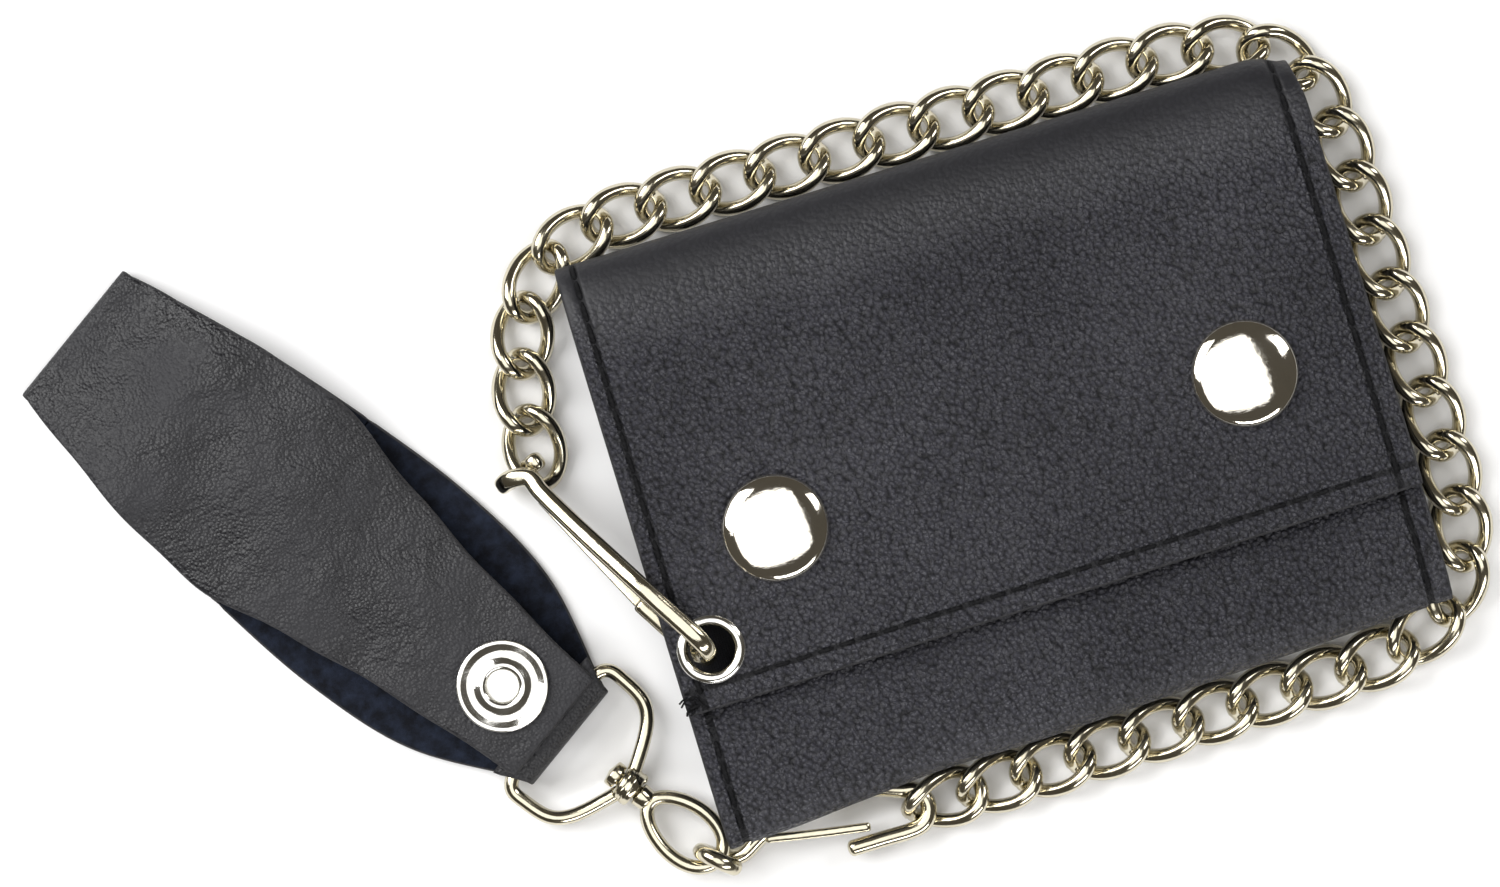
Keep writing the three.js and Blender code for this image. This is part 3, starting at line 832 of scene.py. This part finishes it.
low, high = box_of("eyelet")
centre = np.array([*EYELET, 0])
rim = [(4.95, 14.3), (4.95, 14.75), (4.75, 15.1), (4.3, 15.32), (3.75, 15.3), (3.4, 15.05)]
rim += [(3.25, 14.6)]
under = [(3.25, 12.4), (3.45, 12.0), (4.0, 11.86), (4.6, 11.95), (4.85, 12.3), (4.6, 12.55)]
under += [(3.6, 12.6)]
loop = rounded(rim + under + [(3.55, 14.25), (4.95, 14.3)], 0.2)[:-1]
eyelet = make("eyelet_rolled", *closed_ring(loop, centre), [SILVER], slot="nickel")
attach(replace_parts(eyelet, "eyelet"), "flap")

# ---------- chain ----------
LINK_HALF, LINK_WIDE, LINK_R = 5.45, 3.6, 1.05
# The last links turn over and rise to meet the lower clip's hook
END_ROLLS = {37: -0.2, 38: -0.4}
END_LIFTS = {37: 0.75, 38: 0.95}


def link_path(count=1200):
    t = np.linspace(0, 2 * math.pi, count, endpoint=False)
    squared = lambda v: np.sign(v) * np.abs(v) ** (2 / 2.4)
    run, across = squared(np.cos(t)), LINK_WIDE * squared(np.sin(t))
    roll = -math.pi / 4 * run
    return np.stack([LINK_HALF * run, across * np.cos(roll), across * np.sin(roll)], 1)


def joint_points():
    """The 39 points where the chain's links meet each other and the clips."""
    child = {j["child"]: j["name"] for j in frame["joints"]}
    points = {}
    for i in range(1, 39):
        joint = child.get(f"link_{i:02d}")
        if joint:
            points[i - 1] = place_of(joint)
    low, high = box_of("chain_link_04")
    points[3] = (low + high) - points[4]
    points[3][2] = points[4][2]
    points[38] = place_of("lower_clip_swing")
    for i, lift in END_LIFTS.items():
        points[i][2] = points[20][2] + lift
    return [points[i] for i in range(39)]


loop_points = respaced(link_path(), 0.5, True)
seam_at = int(len(loop_points) * 0.06)
link_verts, link_faces = wire(loop_points, LINK_R, 14, True, seam=seam_at)
meets = joint_points()
for i in range(1, 39):
    a, b = meets[i - 1], meets[i]
    heading = math.atan2(b[1] - a[1], b[0] - a[0])
    climb = math.atan2(b[2] - a[2], math.hypot(b[0] - a[0], b[1] - a[1]))
    pose = (
        Matrix.Rotation(heading, 3, "Z")
        @ Matrix.Rotation(-climb, 3, "Y")
        @ Matrix.Rotation(END_ROLLS.get(i, 0), 3, "X")
    )
    verts = link_verts @ np.array(pose).T + (a + b) / 2
    link = make(f"link_{i:02d}", verts, link_faces, [NICKEL], slot="nickel")
    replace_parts(link, f"chain_link_{i:02d}")
    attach(link, "back" if i == 4 else f"link_{i:02d}")

# ---------- spring clips ----------
EYE_R, WIRE_R = 2.9, 1.2


def eye_points(centre, way, degrees):
    return [
        centre + way * EYE_R * math.cos(math.radians(d)) + [0, 0, EYE_R * math.sin(math.radians(d))]
        for d in degrees
    ]


BEND = [math.radians(d) for d in (90, 60, 30, 0, -30, -60, -90)]
EYE_WAY = unit([-0.95, -0.32, 0])
upper_eye = np.array([-67.5, 15.8, 4.15])
to_eyelet = np.array([*(EYELET - upper_eye[:2]), 0])
way = unit(to_eyelet)
side = np.array([-way[1], way[0], 0])


def on_upper(forward, aside, z):
    return np.array([*(upper_eye[:2] + way[:2] * forward + side[:2] * aside), z])


HOOK_R = 3.35
shank_z = 14.6 + 0.3 + 0.5 + 0.35 + WIRE_R
hook_z = shank_z - HOOK_R
hook_at = np.linalg.norm(to_eyelet) + 0.4 - HOOK_R
path = eye_points(upper_eye, EYE_WAY, (-210, -165, -120, -75, -30, 15, 60))
path += [on_upper(1.4, 0.5, upper_eye[2] + EYE_R + 0.3), on_upper(4, 0.2, 8.4)]
path += [on_upper(11, 0, 11.6), on_upper(18, 0, 14.8), on_upper(24, 0, shank_z - 0.2)]
path += [on_upper(29, 0, shank_z)]
path += [
    on_upper(hook_at + HOOK_R * math.cos(a), -(1 - math.sin(a)), hook_z + HOOK_R * math.sin(a))
    for a in BEND
]
path += [on_upper(30, -2, hook_z - HOOK_R + 0.05), on_upper(25.4, -2, hook_z - HOOK_R + 0.1)]
fine = respaced(centripetal(path), 0.5)
start_way = unit(np.cross([0, 0, 1.0], EYE_WAY))
share = smooth(np.arange(len(fine)) * 0.5, 10, 22)[:, None]
sides_of = unit(-start_way * (1 - share) + side * share)
verts, faces = wire(fine, 0, 18, flat=(sides_of, 1.34, 1.16), shape=2.7)
upper_clip = make("upper_clip_wire", verts, faces, [NICKEL], slot="nickel")
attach(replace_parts(upper_clip, "upper_clip"), "upper_clip")


def leaf(root, end, wide, bow, width=1.8, thick=0.5):
    """A spring leaf: a flat bar, slightly bowed."""
    root, end = np.asarray(root, float), np.asarray(end, float)
    wide = unit(wide)
    up = unit(np.cross(unit(end - root), wide))
    t = np.linspace(0, 1, 40)
    path = root + (end - root) * t[:, None] + up * (bow * np.sin(math.pi * t))[:, None]
    grow = np.tile(wide, (len(t), 1))
    verts, faces = wire(path, 0, 16, flat=(grow, width / 2, thick / 2), shape=5)
    return verts, faces


verts, faces = leaf(on_upper(5, -0.5, 6), on_upper(25, -2, 10.3), side, 0.12)
upper_gate = make("upper_gate_leaf", verts, faces, [NICKEL], slot="nickel")
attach(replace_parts(upper_gate, "upper_clip_gate"), "upper_clip_gate")

lower_eye = np.array([-56.3, -45.25, 4.15])
lower_way = unit([0.75, -0.66, 0])
HX, HY, HZ, HR = -28.4, -46.35, 3.6, 2.95
path = eye_points(lower_eye, lower_way, [-180 - d for d in (150, 105, 60, 15, -30, -75)])
path += [np.array(p) for p in ((-53.4, -45.8, 1.6), (-49.5, -43.9, 2.2), (-44, -42, 2.8))]
path += [np.array(p) for p in ((-37, -41.4, 3.3), (-32, -42.1, 3.5))]
path += [np.array([HX + HR * math.cos(a), HY + HR * math.sin(a), HZ]) for a in BEND]
path += [np.array([-33, HY - HR, HZ]), np.array([-37.6, HY - HR, HZ])]
fine = respaced(centripetal(path), 0.5)
lower_clip = make("lower_clip_wire", *wire(fine, WIRE_R, 16), [NICKEL], slot="nickel")
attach(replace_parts(lower_clip, "lower_clip"), "lower_clip")
verts, faces = leaf((-48.8, -44.4, 4.4), (-34.6, -47, HZ), (0, 0, 1), 0.1, thick=1.3)
lower_gate = make("lower_gate_leaf", verts, faces, [NICKEL], slot="nickel")
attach(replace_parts(lower_gate, "lower_clip_gate"), "lower_clip_gate")

# ---------- belt strap ----------
STRAP_X, STRAP_Y, STRAP_TURN = -122.65, 53.05, math.radians(-56)
BAR_S, BAR_Z = 88.3, 2.95
RING_R = 1.05
cos_a, sin_a = math.cos(STRAP_TURN), math.sin(STRAP_TURN)


def strap_space(points):
    """Strap lengthwise, crosswise and height to the row frame."""
    p = np.asarray(points, float)
    x = STRAP_X + p[..., 0] * cos_a - p[..., 1] * sin_a
    y = STRAP_Y + p[..., 0] * sin_a + p[..., 1] * cos_a
    return np.stack([x, y, p[..., 2]], -1)


def half_width(points):
    fine = centripetal([(s, w, 0) for s, w in points], per=20)
    return lambda s: np.interp(s, fine[:, 0], fine[:, 1])


front_half = half_width([(0, 11.2), (18, 14.6), (36, 16.3), (52, 13.2), (68, 10.7), (90, 8.4)])
back_half = half_width([(0, 11.2), (20, 14.8), (42, 17), (58, 17.5), (74, 15.6), (90, 8.4)])
STRAP_THICK = 1.5


def front_mid(s, n):
    """Height of the front layer: pinched at the fold, domed, then flat under the snap."""
    base = 1.5 + 0.3 + (6.2 - 1.8) * smooth(s, 0, 22) + STRAP_THICK / 2
    across = n / front_half(s)
    flat_end = smooth(s, 58, 68)
    droop = 0.75 * across**2 * smooth(s, 12, 30) * (1 - flat_end)
    wave = 0.3 * np.sin(s * 0.19 + across * 1.3) * smooth(s, 8, 20) * (1 - flat_end)
    return base - droop + wave


across = np.linspace(-1, 1, 45)
rows = []
for s in np.concatenate([np.arange(88.2, 2.0, -0.9), [1.6, 1.2]]):
    w = front_half(s) * (1 + 0.012 * np.sin(s * 0.37))
    rows.append([(s, w * a, front_mid(s, front_half(s) * a)) for a in across])
for a_turn in np.linspace(0.2, math.pi - 0.2, 9):
    s = 0.8 - 0.85 * math.sin(a_turn)
    rows.append([(s, 11.25 * a, 1.66 + 0.91 * math.cos(a_turn)) for a in across])
for s in np.linspace(1.2, 40.2, 31):
    rows.append([(s, back_half(max(s, 0)) * a, 0.75) for a in across])
front_local = np.array(rows).transpose(1, 0, 2)
SNAP_S = 79.0
reach = np.hypot(front_local[..., 0] - SNAP_S, front_local[..., 1])
upper_layer = front_local[..., 2] > 3
SNAP_HOLE = 2.95
inside = (reach < SNAP_HOLE - 0.3) & upper_layer
keep = ~(inside[:-1, :-1] | inside[1:, :-1] | inside[:-1, 1:] | inside[1:, 1:])
pushed = front_local.copy()
close = (reach < SNAP_HOLE + 0.5) & upper_layer
offset = front_local[..., :2] - [SNAP_S, 0]
stretch = np.maximum(reach, SNAP_HOLE) / np.maximum(reach, 1e-6)
ringed = [SNAP_S, 0] + offset * stretch[..., None]
pushed[..., :2] = np.where(close[..., None], ringed, pushed[..., :2])
front_grid = strap_space(pushed)
verts, faces, slots = sheet_mesh(front_grid, STRAP_THICK, keep, 0.3, False)
# The grid runs backwards along the strap, so its outside may face down
outside = verts[: front_grid.shape[0] * front_grid.shape[1]].reshape(front_grid.shape)
if outside[20, 10, 2] < front_grid[20, 10, 2]:
    verts, faces, slots = sheet_mesh(front_grid, STRAP_THICK, keep, 0.3, True)
verts, faces = used_only(verts, faces)
front = make("strap_front_leather", verts, faces, [STRAP_LEATHER, SUEDE, EDGE], slots, "leather")
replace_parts(front, "strap_front")
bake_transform(front)

WRAP_R = BAR_Z - STRAP_THICK / 2
rows = []
for s in np.linspace(40.0, BAR_S, 44)[:-1]:
    rows.append([(s, back_half(s) * a, 0.75) for a in across])
for turn in np.linspace(0, math.pi, 15):
    s = BAR_S + WRAP_R * math.sin(turn)
    rows.append([(s, back_half(s) * a, BAR_Z - WRAP_R * math.cos(turn)) for a in across])
for s in (BAR_S - 0.8, BAR_S - 1.6, 85.9):
    rows.append([(s, back_half(s) * a, BAR_Z + WRAP_R) for a in across])
back_grid = strap_space(np.array(rows)).transpose(1, 0, 2)
verts, faces, slots = sheet_mesh(back_grid, STRAP_THICK, None, 0.3, False)
if verts[20 * back_grid.shape[1] + 5, 2] > 1.0:
    verts, faces, slots = sheet_mesh(back_grid, STRAP_THICK, None, 0.3, True)
back = make("strap_back_leather", verts, faces, [STRAP_LEATHER, SUEDE, EDGE], slots, "suede")
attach(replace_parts(back, "strap_back"), "strap_back")

snap_centre = strap_space([SNAP_S, 0, 0])
TOP = 8.0
profile = [(2.3, 3.5), (3.1, 3.6), (3.1, 5.7), (2.75, 6.0), (2.75, TOP), (6.3, TOP - 0.02)]
profile = rounded(profile, 0.15)
roll = np.linspace(0.3, 2.9, 9)
profile += [(6.3 + 0.3 * math.sin(a), TOP + 0.28 - 0.3 * math.cos(a)) for a in roll]
profile += [(5.9, TOP + 0.5), (5.2, TOP + 0.18), (4.6, TOP + 0.12), (3.9, TOP + 0.2)]
profile += [(3.3, TOP + 0.55), (2.9, TOP + 0.62), (2.5, TOP + 0.5), (2.32, TOP + 0.1), (2.3, 6.0)]
ring_snap = make("strap_snap_ring", *closed_ring(profile, snap_centre), [SILVER], slot="nickel")
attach(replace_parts(ring_snap, "strap_snap_stud"), "strap_front")
profile = [(0, 0.12), (1.9, 0.12), (1.9, 1.78), (5.4, 1.78), (5.4, 2.38), (4.6, 2.4), (4.6, 4.8)]
profile += [(3.85, 4.85), (3.85, 2.6), (0, 2.4)]
verts, faces = turned(rounded(profile, 0.2), snap_centre, 64)
socket = make("strap_snap_base", verts, faces, [SILVER], slot="nickel")
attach(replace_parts(socket, "strap_snap_socket"), "strap_back")

# ---------- D-ring and swivel ----------
half = [(88.3, 9.4), (89.4, 11), (92, 11.2), (96, 10.6), (98.3, 8.6), (101.2, 2.2)]
ring = [(88.3, 0)] + half + [(101.9, 0)] + [(s, -n) for s, n in reversed(half)]
outline = strap_space([(s, n, BAR_Z) for s, n in ring])
fine = respaced(centripetal(outline, True), 0.5, True)
HUB_S = 102.0


def along_strap(profile, sides=40):
    """Lathe work that lies along the strap, about the hub's middle."""
    verts, faces = turned(profile, np.zeros(3), sides)
    local = np.stack([verts[:, 2] + HUB_S, verts[:, 1], -verts[:, 0] + BAR_Z], 1)
    return strap_space(local), faces


coil = []
for t in np.linspace(0, 1, 60):
    turn = 2 * math.pi * 1.9 * t + 0.6
    coil.append((HUB_S - 0.95 + 1.9 * t, 2.05 * math.cos(turn), BAR_Z + 2.05 * math.sin(turn)))
hub_loop = [(1.45, -1.3), (2.45, -1.3), (2.7, -1.1), (2.7, 1.1), (2.45, 1.3), (1.45, 1.3)]
verts, faces = closed_ring(hub_loop, np.zeros(3), 40)
local = np.stack([verts[:, 2] + HUB_S, verts[:, 1], -verts[:, 0] + BAR_Z], 1)
d_ring = make(
    "d_ring_wire",
    *merged(
        [
            wire(fine, RING_R, 14, True),
            (strap_space(local), faces),
            wire(strap_space(coil), 0.75, 10),
        ]
    ),
    [NICKEL],
    slot="nickel",
)
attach(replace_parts(d_ring, "d_ring"), "d_ring")

eye = []
for t in np.linspace(0, 2 * math.pi, 120, endpoint=False):
    c = math.cos(t)
    eye.append((112.2 + 6.3 * c, 3.9 * math.sin(t) * (1 + 0.12 * c), 3.5 + 0.55 * c))
fine = respaced(strap_space(eye), 0.5, True)
stem = [(0, -3.6), (1.9, -3.2), (1.9, -1.8), (1.05, -1.8), (1.05, 1.7), (1.8, 1.7), (1.6, 3.6)]
stem = rounded(stem + [(0, 4.2)], 0.3)
swivel = make(
    "swivel_eye",
    *merged([wire(fine, RING_R, 14, True), along_strap(stem)]),
    [NICKEL],
    slot="nickel",
)
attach(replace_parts(swivel, "swivel_loop"), "swivel_loop")

# ---------- floor, light and camera ----------
material, shader = new_material("floor_white", (0.92, 0.92, 0.925), 0.9)
n = Nodes(material)
n.join(n.tint(n.noise(3), (0.9, 0.9, 0.905), (0.94, 0.94, 0.945)), shader.inputs["Base Color"])
floor = make(
    "floor",
    [(-3000, -3000, -0.05), (3000, -3000, -0.05), (3000, 3000, -0.05), (-3000, 3000, -0.05)],
    [[0, 1, 2, 3]],
    [material],
)

world = bpy.data.worlds.new("studio")
world.use_nodes = True
world.node_tree.nodes["Background"].inputs["Color"].default_value = (1.0, 0.9, 0.74, 1)
world.node_tree.nodes["Background"].inputs["Strength"].default_value = 0.08
scene.world = world
scene.view_settings.view_transform = "Standard"

FOCUS = Vector((-0.03484, 0.01029, 0.0))


def softbox(name, where, size, power):
    data = bpy.data.lights.new(name, "AREA")
    data.shape = "RECTANGLE"
    data.size, data.size_y = size
    data.energy = power
    lamp = bpy.data.objects.new(name, data)
    lamp.location = where
    lamp.rotation_euler = (FOCUS - Vector(where)).to_track_quat("-Z", "Y").to_euler()
    scene.collection.objects.link(lamp)


softbox("overhead", (-0.16, 0.0, 1.25), (1.05, 1.1), 6.4)
softbox("key", (-0.6, 0.5, 0.7), (0.7, 0.7), 10)
softbox("fill", (0.75, 0.25, 0.65), (0.25, 0.6), 3)
softbox("front", (0.1, -0.85, 0.55), (0.8, 0.2), 5)

camera = bpy.data.objects.new("camera", bpy.data.cameras.new("camera"))
camera.data.lens = 120
camera.data.sensor_width = 36
camera.location = FOCUS + Vector((0, 0, 0.718))
camera.rotation_euler = (0, 0, math.radians(-16.9))
scene.collection.objects.link(camera)
scene.camera = camera
